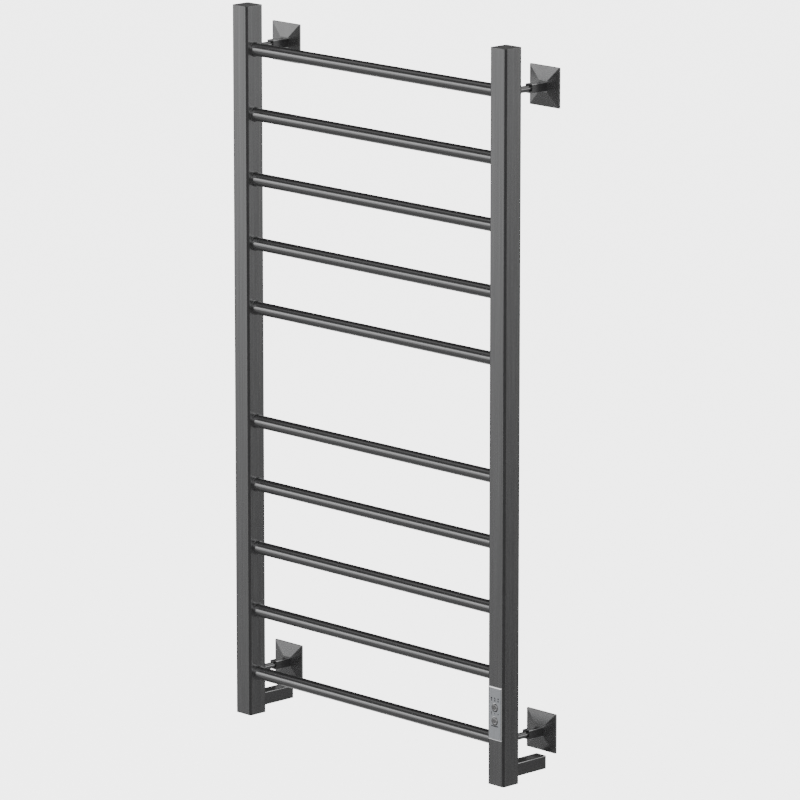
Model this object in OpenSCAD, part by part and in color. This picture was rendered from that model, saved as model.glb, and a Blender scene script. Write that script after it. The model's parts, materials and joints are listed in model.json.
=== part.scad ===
// Electric towel warmer rack, ladder type, held to a wall by four adjustable brackets.
// The origin is the middle of the four wall holes, in the plane of the wall.
// X runs to the right, Y into the wall and Z up. Everything is in millimetres.

/* [Frame] */
// Overall height of the two posts with their caps
frame_h = 1000; // [990:5:1010]
// Distance between the centre lines of the two posts
post_pitch = 500; // [300:50:700]
// Width and depth of a square post
post_w = 30; // [30:1:34]
// Wall thickness of a post
post_t = 1.5; // [1.2:0.1:2]
// Outside radius of a post's long edges
post_r = 3; // [2.5:0.1:3]
// Thickness of the plates that close the posts
cap_t = 2; // [1.5:0.5:3]

/* [Rungs] */
// Outside diameter of a rung
rung_d = 18; // [17:1:20]
// Wall thickness of a rung
rung_t = 1.2; // [1:0.1:1.5]
// Rungs in each of the two groups
group_count = 5; // [3:1:5]
// Distance between neighbouring rungs in a group
rung_pitch = 90; // [86:1:90]
// Height of the first rung's centre line above the bottom of the posts
first_rung_h = 60; // [58:1:62]

/* [Wall brackets] */
// Gap between the wall and the back of the posts
wall_gap = 59; // [57:1:62]
// Width of a bracket's square neck
neck_w = 12.4; // [12.2:0.1:13]
// Length of a bracket from the wall to its open end
neck_l = 31.5; // [30:0.5:33]
// Diameter of the round rod that slides in the neck
rod_d = 9; // [8:0.5:9]
// Width of a square cover plate
rosette_w = 54.5; // [50:0.5:58]
// Height of a cover plate's straight rim
rosette_rim = 2.5; // [2:0.5:4]
// Rise of a cover plate's four slopes
rosette_rise = 3; // [2.5:0.5:5]
// Sheet thickness of a cover plate
rosette_t = 1.2; // [1:0.1:1.2]
// Diameter of the hole for the wall screw
wall_hole_d = 5.2; // [4.5:0.1:6]

/* [Cable outlets] */
// Width of the square cable outlet at the foot of each post
stub_w = 18.6; // [17:0.2:19]
// Height of the outlet's centre line above the bottom of the posts
stub_h = 17.5; // [17:0.5:18.5]
// Gap between the outlet's open end and the wall
stub_gap = 2; // [2:0.5:6]
// Diameter of the supply cable that the grommet takes
supply_d = 7; // [5:0.5:8]

/* [Control unit] */
// Height of the control panel's centre above the bottom of the posts
panel_h = 100.2; // [99:0.2:102]
// Width of the panel
panel_w = 25.4; // [25:0.2:26]
// Height of the panel
panel_l = 73.6; // [73:0.2:76]
// How far the bezel stands out in front of the post
panel_proud = 1.5; // [1.3:0.1:2]
// Diameter of a push button
button_d = 9.4; // [9:0.1:9.6]
// Travel of a push button
button_travel = 0.6; // [0.3:0.1:0.6]

/* [Heating cable] */
// Outside diameter of the heating cable
cable_d = 5; // [4:0.5:6]
// Radius of its bends inside the posts
cable_bend = 10; // [9:0.5:11]

/* [Hidden] */
$fn = 64;

// Heights are counted from the middle of the frame.
foot_z = -frame_h / 2;
post_y = -wall_gap - post_w / 2;
rear_y = -wall_gap;
front_y = rear_y - post_w;
post_x = post_pitch / 2;
post_in = post_w - 2 * post_t;

rung_count = 2 * group_count;
first_z = foot_z + first_rung_h;
last_z = -first_z;
rung_hole_d = rung_d + 0.1;
rung_end_x = post_x - post_w / 2 + post_t + 1;

// Small gaps between pieces: a sliding fit, and a loose one.
slip = 0.05;
ease = 0.15;

// Wall brackets
neck_r = 0.8;
flange_w = 30;
flange_t = 1.5;
bore_end = 5;
rod_front_y = rear_y - 0.8;
rod_back_y = -13;
rod_screw_d = 6;
rod_screw_l = 9;
insert_d = 11;
insert_l = 10;
insert_head_d = 13.5;
insert_head_t = 0.8;
grub_y = -27;
grub_d = 4;
rosette_flat = neck_w + 1.2;
rosette_h = rosette_rim + rosette_rise;
grip_w = 16;
grip_in = neck_w + 2 * slip;
grip_t = 1.4;

// Cable outlets
stub_t = 1.5;
stub_z = foot_z + stub_h;
stub_front_y = rear_y - post_t - 1.5;
stub_back_y = -stub_gap;
stub_in = stub_w - 2 * stub_t;
stub_r = 1;
plug_t = 4;

// Control unit: the layers are counted from the front of the post towards the wall.
panel_z = foot_z + panel_h;
panel_x = post_x;
seal_t = 0.3;
bezel_front_y = front_y - panel_proud;
bezel_back_y = front_y - seal_t;
bezel_edge = 1;
fascia_w = 21.8;
fascia_l = panel_l - 3.4;
fascia_t = 0.8;
fascia_front_y = bezel_front_y - 0.1;
fascia_back_y = fascia_front_y + fascia_t;
window_w = 21;
window_l = 66;
housing_w = 20.6;
housing_l = 65.4;
housing_t = 1;
housing_back_y = front_y + 12;
board_y = front_y + 8;
board_t = 1.6;
board_w = 18.2;
board_l = 62;
switch_w = 6;
switch_h = 3.5;
plunger_d = 3.5;
button_front_y = fascia_front_y - 0.9;
button_rear_y = fascia_back_y + slip;
button_flange_d = 11;
button_flange_t = 0.8;
stem_d = 4;
stem_end_y = front_y + 3;
power_z = panel_z + 8.5;
timer_z = panel_z - 10.1;
led_top_z = panel_z + 21;
led_mid_z = panel_z + 0.1;
led_pitch = 6.3;
led_d = 1.6;
bar_z = panel_z - 17.2;
bar_w = 12.8;
bar_h = 1.5;
relay_z = panel_z - 25.5;
block_z = panel_z - 20;
block_l = 12;
block_w = 16;
block_y = housing_back_y;
block_d = 9.5;
sensor_z = panel_z + 19;
sensor_d = 4;
sensor_l = 9;

// Heating cable
cable_top_x = post_x - 14;
seal_d = 7;
seal_l = 12;

RUNGS = [for (i = [1:rung_count]) str("rung_", i < 10 ? "0" : "", i)];
CORNERS = ["top_left", "top_right", "bottom_left", "bottom_right"];

// Height of rung i, counted from the top, with the wide gap between the two groups.
function rung_z(i) = i <= group_count
    ? last_z - (i - 1) * rung_pitch
    : first_z + (rung_count - i) * rung_pitch;
// Height of the n-th rung that the heating cable passes through, counted from the bottom.
function pass_z(n) = rung_z(rung_count - n);
function corner_x(c) = (c == CORNERS[0] || c == CORNERS[2]) ? -post_x : post_x;
function corner_z(c) = (c == CORNERS[0] || c == CORNERS[1]) ? last_z : first_z;

// ---- Shared shapes ----

// Square outline of width w with its corners rounded to radius r.
module round_square(w, r) {
    square([w - 2 * r, w], center = true);
    square([w, w - 2 * r], center = true);
    for (x = [-1, 1], y = [-1, 1])
        translate([x * (w / 2 - r), y * (w / 2 - r)])
            circle(r);
}

// Upright square bar with round edges, from z0 to z1, centred on a post at x.
module upright(x, w, r, z0, z1) {
    translate([x, post_y, z0])
        linear_extrude(z1 - z0)
            round_square(w, r);
}

// Round bar along Y from y0 to y1.
module bar_y(d, x, z, y0, y1) {
    translate([x, y0, z])
        rotate([-90, 0, 0])
            cylinder(d = d, h = y1 - y0);
}

// Square bar of width w along Y from y0 to y1, with round long edges.
module round_bar_y(w, r, x, z, y0, y1) {
    translate([x, y0, z])
        rotate([-90, 0, 0])
            linear_extrude(y1 - y0)
                round_square(w, r);
}

// Box centred on x and z, from y0 to y1.
module block_xz(w, l, x, z, y0, y1) {
    translate([x - w / 2, y0, z - l / 2])
        cube([w, y1 - y0, l]);
}

// Square frustum on the wall plane: a straight rim and four slopes up to a small flat.
module frustum(w, rim, flat, h) {
    profile = [[-w / 2, 0], [w / 2, 0], [w / 2, -rim], [flat / 2, -h], [-flat / 2, -h], [-w / 2, -rim]];
    intersection() {
        translate([0, 0, -w / 2])
            linear_extrude(w)
                polygon(profile);
        rotate([0, 90, 0])
            translate([0, 0, -w / 2])
                linear_extrude(w)
                    polygon(profile);
    }
}

// Plate in the XZ plane whose front edges are bevelled by edge.
module bevelled_plate(w, l, front, back, edge) {
    intersection() {
        translate([0, 0, -l / 2])
            linear_extrude(l)
                polygon([
                    [-w / 2, back], [w / 2, back], [w / 2, front + edge],
                    [w / 2 - edge, front], [-w / 2 + edge, front], [-w / 2, front + edge]
                ]);
        rotate([0, 90, 0])
            translate([0, 0, -w / 2])
                linear_extrude(w)
                    polygon([
                        [-l / 2, back], [l / 2, back], [l / 2, front + edge],
                        [l / 2 - edge, front], [-l / 2 + edge, front], [-l / 2, front + edge]
                    ]);
    }
}

// Quarter bend of the heating cable about (x, z), starting at angle a.
module cable_quarter(x, z, a) {
    translate([x, post_y, z])
        rotate([90, 0, 0])
            rotate([0, 0, a])
                rotate_extrude(angle = 90)
                    translate([cable_bend, 0])
                        circle(d = cable_d);
}

// ---- Frame ----

// Square tube with its rung, bracket and cable holes. side is -1 on the left, 1 on the right.
module post_tube(side) {
    x = side * post_x;
    difference() {
        upright(x, post_w, post_r, foot_z + cap_t, -foot_z - cap_t);
        upright(x, post_in, post_r - post_t + 0.3, foot_z, -foot_z);
        for (i = [1:rung_count])
            translate([side > 0 ? x - post_w / 2 - 1 : x + post_w / 2 - post_t - 1, post_y, rung_z(i)])
                rotate([0, 90, 0])
                    cylinder(d = rung_hole_d, h = post_t + 2);
        for (z = [first_z, last_z])
            bar_y(insert_d + 2 * slip, x, z, rear_y - post_t - 1, rear_y + 1);
        block_xz(stub_w, stub_w, x, stub_z, rear_y - post_t - 1, rear_y + 1);
    }
}

module left_post() {
    color([0.33, 0.33, 0.34])
        post_tube(-1);
}

module right_post() {
    color([0.33, 0.33, 0.34])
        difference() {
            post_tube(1);
            block_xz(window_w, window_l, panel_x, panel_z, front_y - 1, front_y + post_t + 1);
        }
}

// Round tube between the posts, welded into a hole in each.
module rung(i) {
    color([0.4, 0.4, 0.41])
        translate([-rung_end_x, post_y, rung_z(i)])
            rotate([0, 90, 0])
                difference() {
                    cylinder(d = rung_d, h = 2 * rung_end_x);
                    translate([0, 0, -1])
                        cylinder(d = rung_d - 2 * rung_t, h = 2 * rung_end_x + 2);
                }
}

// Plate that closes a post, with a shallow skirt inside the tube. end is 1 at the top, -1 below.
module post_cap(side, end) {
    x = side * post_x;
    plate_z = end > 0 ? -foot_z - cap_t : foot_z;
    skirt_h = 4;
    skirt_z = end > 0 ? plate_z - skirt_h : plate_z + cap_t;
    color([0.28, 0.28, 0.29]) {
        upright(x, post_w, post_r, plate_z, plate_z + cap_t);
        difference() {
            upright(x, post_in - 0.2, post_r - post_t + 0.2, skirt_z, skirt_z + skirt_h);
            upright(x, post_in - 4, 0.7, skirt_z - 1, skirt_z + skirt_h + (end > 0 ? 0 : 1));
        }
    }
}

// ---- Cable outlets ----

// Square tube from the foot of a post towards the wall box.
module outlet(side) {
    x = side * post_x;
    color([0.3, 0.3, 0.31])
        difference() {
            round_bar_y(stub_w, stub_r, x, stub_z, stub_front_y, stub_back_y);
            block_xz(stub_in, stub_in, x, stub_z, stub_front_y - 1, stub_back_y + 1);
        }
}

// Cap that closes the outlet on the side with no cable.
module blanking_plug() {
    color([0.12, 0.12, 0.12])
        block_xz(stub_in, stub_in, -post_x, stub_z, stub_back_y - plug_t, stub_back_y);
}

// Soft bush that the supply cable leaves through.
module cable_grommet() {
    color([0.08, 0.08, 0.08])
        difference() {
            block_xz(stub_in, stub_in, post_x, stub_z, stub_back_y - plug_t, stub_back_y);
            bar_y(supply_d, post_x, stub_z, stub_back_y - plug_t - 1, stub_back_y + 1);
        }
}

// ---- Heating cable ----

// One cable that starts at the control unit and runs through every rung, from the lowest to the top.
module heating_cable() {
    run = 2 * (post_x - cable_bend);
    color([0.55, 0.12, 0.1]) {
        translate([post_x, post_y, first_z + cable_bend])
            cylinder(d = cable_d, h = block_z - block_l / 2 - first_z - cable_bend);
        cable_quarter(post_x - cable_bend, first_z + cable_bend, -90);
        for (n = [0:rung_count - 1]) {
            last = n == rung_count - 1;
            translate([-run / 2, post_y, pass_z(n)])
                rotate([0, 90, 0])
                    cylinder(d = cable_d, h = last ? run / 2 + cable_top_x : run);
        }
        for (n = [0:rung_count - 2]) {
            side = n % 2 == 0 ? -1 : 1;
            z0 = pass_z(n) + cable_bend;
            z1 = pass_z(n + 1) - cable_bend;
            cable_quarter(side * (post_x - cable_bend), z0, side < 0 ? 180 : 270);
            cable_quarter(side * (post_x - cable_bend), z1, side < 0 ? 90 : 0);
            translate([side * post_x, post_y, z0])
                cylinder(d = cable_d, h = z1 - z0);
        }
    }
}

// Sealed far end of the heating cable.
module cable_end_seal() {
    color([0.1, 0.1, 0.1])
        translate([cable_top_x, post_y, last_z])
            rotate([0, 90, 0])
                cylinder(d = seal_d, h = seal_l);
}

// ---- Wall brackets ----

// Square neck with a wall flange: a blind bore takes the rod, and its floor takes the wall screw.
module bracket_neck(c) {
    x = corner_x(c);
    z = corner_z(c);
    color([0.3, 0.3, 0.31])
        difference() {
            union() {
                round_bar_y(neck_w, neck_r, x, z, -neck_l, 0);
                round_bar_y(flange_w, neck_r, x, z, -flange_t, 0);
            }
            bar_y(rod_d + 2 * slip, x, z, -neck_l - 1, -bore_end);
            bar_y(wall_hole_d, x, z, -bore_end - 1, 1);
            translate([x, grub_y, z - neck_w / 2 - 1])
                cylinder(d = grub_d, h = neck_w / 2);
        }
}

// Round rod with a threaded end that screws into the back of the post.
module bracket_rod(c) {
    x = corner_x(c);
    z = corner_z(c);
    color([0.45, 0.45, 0.46]) {
        bar_y(rod_d, x, z, rod_front_y + 1.6, rod_back_y);
        bar_y(rod_screw_d - 2 * slip, x, z, rod_front_y + 1.6 - rod_screw_l, rod_front_y + 1.6);
    }
}

// Threaded inserts, one in the back of each post behind every rod.
module rod_inserts() {
    color([0.75, 0.72, 0.6])
        for (c = CORNERS) {
            x = corner_x(c);
            z = corner_z(c);
            difference() {
                union() {
                    bar_y(insert_d, x, z, rear_y - insert_l, rear_y);
                    bar_y(insert_head_d, x, z, rear_y, rear_y + insert_head_t);
                }
                bar_y(rod_screw_d, x, z, rear_y - insert_l - 1, rear_y + insert_head_t + 1);
            }
        }
}

// Grub screws in the undersides of the necks, with a hexagon socket each.
module grub_screws() {
    grub_l = neck_w / 2 - rod_d / 2 - 2 * slip;
    color([0.2, 0.2, 0.2])
        for (c = CORNERS)
            translate([corner_x(c), grub_y, corner_z(c) - neck_w / 2])
                difference() {
                    cylinder(d = grub_d - 2 * slip, h = grub_l);
                    translate([0, 0, -1])
                        cylinder(d = 2.2, h = 1 + grub_l / 2, $fn = 6);
                }
}

// Hollow cover plate that slides on the neck and hides the flange.
module rosette(c) {
    t = rosette_t;
    color([0.36, 0.36, 0.37])
        translate([corner_x(c), 0, corner_z(c)])
            difference() {
                frustum(rosette_w, rosette_rim, rosette_flat, rosette_h);
                translate([0, 0.01, 0])
                    frustum(rosette_w - 2 * t, rosette_rim - t, rosette_flat, rosette_h - t);
                block_xz(neck_w + 2 * ease, neck_w + 2 * ease, 0, 0, -rosette_h - 1, 1);
            }
}

// Soft ring behind the cover plate that grips the neck.
module grip_ring(c) {
    y0 = -rosette_h + rosette_t + 0.3;
    color([0.07, 0.07, 0.07])
        difference() {
            block_xz(grip_w, grip_w, corner_x(c), corner_z(c), y0, y0 + grip_t);
            block_xz(grip_in, grip_in, corner_x(c), corner_z(c), y0 - 1, y0 + grip_t + 1);
        }
}

// ---- Control unit ----

// Frame round the fascia, with bevelled front edges and a ledge behind the fascia.
module panel_bezel() {
    color([0.16, 0.16, 0.17])
        difference() {
            translate([panel_x, 0, panel_z])
                bevelled_plate(panel_w, panel_l, bezel_front_y, bezel_back_y, bezel_edge);
            block_xz(fascia_w + 0.2, fascia_l + 0.2, panel_x, panel_z, bezel_front_y - 1, fascia_back_y);
            block_xz(housing_w - 2, housing_l - 2, panel_x, panel_z, bezel_front_y, bezel_back_y + 1);
        }
}

// Satin metal front with openings for the buttons, the lights and the level bar.
module panel_fascia() {
    color([0.52, 0.53, 0.54])
        difference() {
            block_xz(fascia_w, fascia_l, panel_x, panel_z, fascia_front_y, fascia_back_y);
            for (z = [power_z, timer_z])
                bar_y(button_d + 2 * ease, panel_x, z, fascia_front_y - 1, fascia_back_y + 1);
            for (z = [led_top_z, led_mid_z], n = [-1, 0, 1])
                bar_y(led_d + 2 * slip, panel_x + n * led_pitch, z, fascia_front_y - 1, fascia_back_y + 1);
            block_xz(bar_w + 0.1, bar_h + 0.1, panel_x, bar_z, fascia_front_y - 1, fascia_back_y + 1);
        }
}

// Thin gasket between the bezel and the post.
module panel_seal() {
    color([0.05, 0.05, 0.05])
        difference() {
            block_xz(panel_w - 1, panel_l - 1, panel_x, panel_z, bezel_back_y, front_y);
            block_xz(window_w, window_l, panel_x, panel_z, bezel_back_y - 1, front_y + 1);
        }
}

// Open-fronted box that reaches through the post's window and holds the electronics.
module control_housing() {
    snap_h = 1.2;
    color([0.13, 0.13, 0.14])
        difference() {
            union() {
                block_xz(housing_w, housing_l, panel_x, panel_z, bezel_back_y, housing_back_y);
                for (end = [-1, 1])
                    block_xz(8, snap_h, panel_x, panel_z + end * (housing_l + snap_h) / 2,
                        front_y + post_t + slip, front_y + post_t + 2);
            }
            block_xz(housing_w - 2 * housing_t, housing_l - 2 * housing_t, panel_x, panel_z,
                bezel_back_y - 1, housing_back_y - housing_t);
        }
}

module circuit_board() {
    color([0.05, 0.3, 0.14])
        block_xz(board_w, board_l, panel_x, panel_z, board_y, board_y + board_t);
}

// Two switch bodies on the board, each open at the front for its plunger.
module tact_switches() {
    color([0.1, 0.1, 0.1])
        for (z = [power_z, timer_z])
            difference() {
                block_xz(switch_w, switch_w, panel_x, z, board_y - switch_h, board_y);
                bar_y(plunger_d + 2 * ease, panel_x, z, board_y - switch_h - 1, board_y - 1);
            }
}

// Light guides of the lamps and of the level bar, from the board to the fascia.
module indicator_lights() {
    color([0.9, 0.9, 0.85]) {
        for (z = [led_top_z, led_mid_z], n = [-1, 0, 1])
            bar_y(led_d, panel_x + n * led_pitch, z, fascia_front_y, board_y);
        block_xz(bar_w, bar_h, panel_x, bar_z, fascia_front_y, board_y);
    }
}

module power_relay() {
    color([0.1, 0.2, 0.45])
        block_xz(15, 10, panel_x, relay_z, board_y - 6.5, board_y);
}

// Screw terminals behind the housing, where the heating cable starts.
module terminal_block() {
    color([0.85, 0.85, 0.8])
        difference() {
            block_xz(block_w, block_l, panel_x, block_z, block_y, block_y + block_d);
            for (n = [-1, 0, 1])
                bar_y(3, panel_x + n * 5, block_z, block_y + block_d - 3, block_y + block_d + 1);
        }
}

// Probe on the back of the housing that reads the temperature inside the post.
module temperature_sensor() {
    color([0.7, 0.7, 0.72])
        bar_y(sensor_d, panel_x, sensor_z, housing_back_y, housing_back_y + sensor_l);
}

// Push button with a domed face, a retaining flange behind the fascia and a short stem.
module push_button(z) {
    crown = 0.5;
    color([0.45, 0.45, 0.46]) {
        bar_y(button_d, panel_x, z, button_front_y + crown, button_rear_y);
        translate([panel_x, button_front_y + crown, z])
            rotate([90, 0, 0])
                cylinder(d1 = button_d, d2 = button_d - 2 * crown, h = crown);
        bar_y(button_flange_d, panel_x, z, button_rear_y, button_rear_y + button_flange_t);
        bar_y(stem_d, panel_x, z, button_rear_y + button_flange_t, stem_end_y);
    }
}

// Round plunger of a switch, which the button's stem pushes.
module switch_plunger(z) {
    color([0.85, 0.85, 0.85])
        bar_y(plunger_d, panel_x, z, stem_end_y, board_y - 1 - button_travel - 0.4);
}

// ---- Nodes ----

left_post();
right_post();
for (i = [1:rung_count])
    rung(i);
post_cap(-1, 1);  // top_cap_left
post_cap(1, 1);  // top_cap_right
post_cap(-1, -1);  // bottom_cap_left
post_cap(1, -1);  // bottom_cap_right
outlet(-1);  // outlet_left
outlet(1);  // outlet_right
blanking_plug();
cable_grommet();
heating_cable();
cable_end_seal();
for (c = CORNERS) {
    bracket_neck(c);
    bracket_rod(c);
    rosette(c);
    grip_ring(c);
}
rod_inserts();
grub_screws();
panel_bezel();
panel_fascia();
panel_seal();
control_housing();
circuit_board();
tact_switches();
indicator_lights();
power_relay();
terminal_block();
temperature_sensor();
push_button(power_z);  // power_button
push_button(timer_z);  // timer_button
switch_plunger(power_z);  // power_plunger
switch_plunger(timer_z);  // timer_plunger
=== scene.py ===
"""Looks of a wall-mounted ladder towel warmer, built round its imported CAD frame.

Every shape is a grid or a profile worked out with numpy, in millimetres, and every finish is procedural.
"""

import json
import logging
from collections.abc import Sequence
from dataclasses import dataclass, field, replace
from enum import Enum

import bmesh
import bpy
import numpy as np
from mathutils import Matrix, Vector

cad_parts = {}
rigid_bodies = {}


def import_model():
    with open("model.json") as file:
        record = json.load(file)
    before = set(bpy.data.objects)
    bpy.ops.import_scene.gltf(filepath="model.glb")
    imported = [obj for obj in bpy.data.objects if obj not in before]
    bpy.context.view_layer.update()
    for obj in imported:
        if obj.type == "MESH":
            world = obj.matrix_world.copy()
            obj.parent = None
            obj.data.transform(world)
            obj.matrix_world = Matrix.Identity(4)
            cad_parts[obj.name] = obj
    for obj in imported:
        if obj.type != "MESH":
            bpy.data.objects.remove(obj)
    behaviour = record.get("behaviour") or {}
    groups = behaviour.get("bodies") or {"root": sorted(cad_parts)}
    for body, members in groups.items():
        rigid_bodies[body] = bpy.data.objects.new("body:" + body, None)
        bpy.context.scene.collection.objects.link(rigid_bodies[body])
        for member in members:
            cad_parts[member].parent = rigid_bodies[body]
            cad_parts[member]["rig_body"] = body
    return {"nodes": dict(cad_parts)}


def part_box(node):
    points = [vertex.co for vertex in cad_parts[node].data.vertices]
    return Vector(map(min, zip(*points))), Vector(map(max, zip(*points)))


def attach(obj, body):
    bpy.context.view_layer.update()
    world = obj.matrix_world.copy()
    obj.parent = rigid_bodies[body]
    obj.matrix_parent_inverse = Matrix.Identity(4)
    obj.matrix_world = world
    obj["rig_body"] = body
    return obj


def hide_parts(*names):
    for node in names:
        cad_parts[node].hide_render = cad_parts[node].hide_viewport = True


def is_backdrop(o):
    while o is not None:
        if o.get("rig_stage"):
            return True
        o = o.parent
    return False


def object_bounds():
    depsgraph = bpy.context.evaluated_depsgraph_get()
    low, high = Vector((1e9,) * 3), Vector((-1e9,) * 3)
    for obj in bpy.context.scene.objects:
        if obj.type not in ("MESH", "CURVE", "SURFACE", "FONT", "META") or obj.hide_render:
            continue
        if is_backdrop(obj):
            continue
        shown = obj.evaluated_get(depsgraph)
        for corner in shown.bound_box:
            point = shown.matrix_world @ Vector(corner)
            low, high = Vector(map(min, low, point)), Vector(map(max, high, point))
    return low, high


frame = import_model()

Array = np.ndarray
LOG = logging.getLogger("towel_warmer")
MM = 0.001
ARC = 8
FLAT = 8
TURN = 4 * (ARC + FLAT)


class Along(Enum):
    """The axis that a shape's sections follow, as the columns of (a, b, level) that give x, y and z."""

    X = (2, 0, 1)
    Y = (0, 2, 1)
    Z = (0, 1, 2)


class Grain(Enum):
    """The way the finish's fine lines run, as how much finer they are along x, y and z."""

    UPRIGHT = (1.0, 1.0, 0.012)
    LEVEL = (0.012, 1.0, 1.0)
    DEEP = (1.0, 0.012, 1.0)
    TURNED = (0.05, 1.0, 0.05)
    EVEN = (1.0, 1.0, 1.0)


@dataclass
class Shape:
    """A mesh in the making.

    Attributes:
        points: vertices, one row each, in millimetres.
        faces: lists of vertex numbers.
        edge: how far each vertex lies on an edge, 0 to 1, which sets how much painted edge highlight or
            painted shade it gets.
    """

    points: Array
    faces: list[list[int]]
    edge: Array

    def joined(self, *others: "Shape") -> "Shape":
        """One shape that holds this one and the others as separate islands."""
        points, faces, edge = [self.points], list(self.faces), [self.edge]
        count = len(self.points)
        for other in others:
            faces += [[v + count for v in face] for face in other.faces]
            points.append(other.points)
            edge.append(other.edge)
            count += len(other.points)
        return Shape(np.vstack(points), faces, np.concatenate(edge))


@dataclass(frozen=True)
class Section:
    """One closed outline of a loft.

    Attributes:
        loop: points of the outline, one row of (a, b, edge) each.
        level: where the outline lies along the loft's axis, in millimetres.
        painted_edge_share: how much painted edge highlight or painted shade the whole outline gets, 0 to 1.
    """

    loop: Array
    level: float
    painted_edge_share: float = 0.0


def ring(width: float, height: float, radius: float) -> Array:
    """Outline of a rectangle with round corners.

    One quarter is half a side, a quarter circle and half a side; the others are its mirror images.

    Args:
        width: size along a.
        height: size along b.
        radius: corner radius.

    Returns:
        TURN rows of (a, b, edge), anticlockwise from the middle of the right side.
    """
    radius = max(min(radius, width / 2 - 1e-3, height / 2 - 1e-3), 1e-3)
    side = np.linspace(0.0, 1.0, FLAT // 2 + 1)
    turn = np.linspace(0.0, np.pi / 2, ARC + 1)
    a, b = width / 2 - radius, height / 2 - radius
    right = np.column_stack([np.full(FLAT // 2, width / 2), b * side[:-1], np.zeros(FLAT // 2)])
    # The corners' third column is their share of painted edge highlight or painted shade, most at the middle
    # of the bend.
    corner = np.column_stack([a + radius * np.cos(turn), b + radius * np.sin(turn), np.sin(2 * turn) ** 2])
    top = np.column_stack([a * (1 - side[1:]), np.full(FLAT // 2, height / 2), np.zeros(FLAT // 2)])
    quarter = np.vstack([right, corner, top])
    mirrored = (quarter * (-1, 1, 1))[::-1]
    return np.vstack([
        quarter[:-1], mirrored[:-1], (quarter * (-1, -1, 1))[:-1], (mirrored * (-1, -1, 1))[:-1],
    ])


def circle(diameter: float) -> Array:
    """TURN points of a circle, as rows of (a, b, edge) with no edge."""
    turn = np.linspace(0.0, 2 * np.pi, TURN, endpoint=False)
    return np.column_stack([diameter / 2 * np.cos(turn), diameter / 2 * np.sin(turn), np.zeros(TURN)])


def soft_edge(width: float, height: float, radius: float, start: float, end: float,
              inset: float) -> list[Section]:
    """Sections that turn a straight side into a face on a quarter ellipse.

    Args:
        width: outline's size along a before the edge.
        height: outline's size along b before the edge.
        radius: outline's corner radius.
        start: level where the edge begins.
        end: level of the face.
        inset: how far the outline shrinks on each side.

    Returns:
        Five sections from start to end.
    """
    made = []
    for t in np.linspace(0.0, np.pi / 2, 5):
        shrink = inset * (1 - np.cos(t))
        loop = ring(width - 2 * shrink, height - 2 * shrink, radius - shrink)
        # The middle of the curve gets the most painted edge highlight or painted shade.
        made.append(Section(loop, start + (end - start) * np.sin(t), np.sin(2 * t)))
    return made


def turned(profile: Sequence[tuple[float, float]], painted_edge_share: float = 0.0) -> list[Section]:
    """Round sections of a turned piece, from its (level, diameter) pairs."""
    return [Section(circle(diameter), level, painted_edge_share) for level, diameter in profile]


def grid_faces(rows: int, cols: int, wrap_rows: bool) -> Array:
    """Quads between neighbouring points of a grid whose columns close on themselves.

    Args:
        rows: number of rows.
        cols: number of columns.
        wrap_rows: whether the last row joins the first.

    Returns:
        One row of four vertex numbers for each quad.
    """
    i, j = np.meshgrid(np.arange(rows if wrap_rows else rows - 1), np.arange(cols), indexing="ij")
    i_next, j_next = (i + 1) % rows, (j + 1) % cols
    quads = [i * cols + j, i * cols + j_next, i_next * cols + j_next, i_next * cols + j]
    return np.stack(quads, axis=-1).reshape(-1, 4)


def loft(sections: Sequence[Section], along: Along, centre: Sequence[float], hollow: bool = False) -> Shape:
    """Carries a surface through sections: a section's (a, b, level) lands at centre plus its axes.

    Args:
        sections: outlines with the same number of points.
        along: axis that the levels lie on.
        centre: point added to every vertex, in millimetres.
        hollow: join the last section to the first, as on a tube; otherwise both ends are closed flat.

    Returns:
        A closed shape.
    """
    rows = np.stack([np.column_stack([s.loop[:, :2], np.full(TURN, s.level)]) for s in sections])
    edge = np.stack([np.maximum(s.loop[:, 2], s.painted_edge_share) for s in sections])
    points = rows.reshape(-1, 3)[:, list(along.value)] + np.array(centre, float)
    faces = grid_faces(len(sections), TURN, hollow).tolist()
    if not hollow:
        last = (len(sections) - 1) * TURN
        faces += [list(range(TURN))[::-1], list(range(last, last + TURN))]
    return Shape(points, faces, edge.ravel())


def tube(outer: Sequence[Section], inner: Sequence[Section], along: Along, centre: Sequence[float]) -> Shape:
    """Hollow loft whose outer sections run one way and whose inner ones run back."""
    return loft([*outer, *inner], along, centre, hollow=True)


def box_mm(*nodes: str) -> tuple[Array, Array]:
    """Lowest and highest corner of one or more CAD nodes, in millimetres."""
    boxes = [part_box(node) for node in nodes]
    low = np.min([np.array(lo) for lo, _ in boxes], axis=0)
    high = np.max([np.array(hi) for _, hi in boxes], axis=0)
    return low / MM, high / MM


def depth_line(low: Array, high: Array) -> tuple[float, float, float]:
    """Point at y = 0 on the line along y through a box's middle."""
    return (low[0] + high[0]) / 2, 0.0, (low[2] + high[2]) / 2


# ---- Shader groups ----


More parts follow.
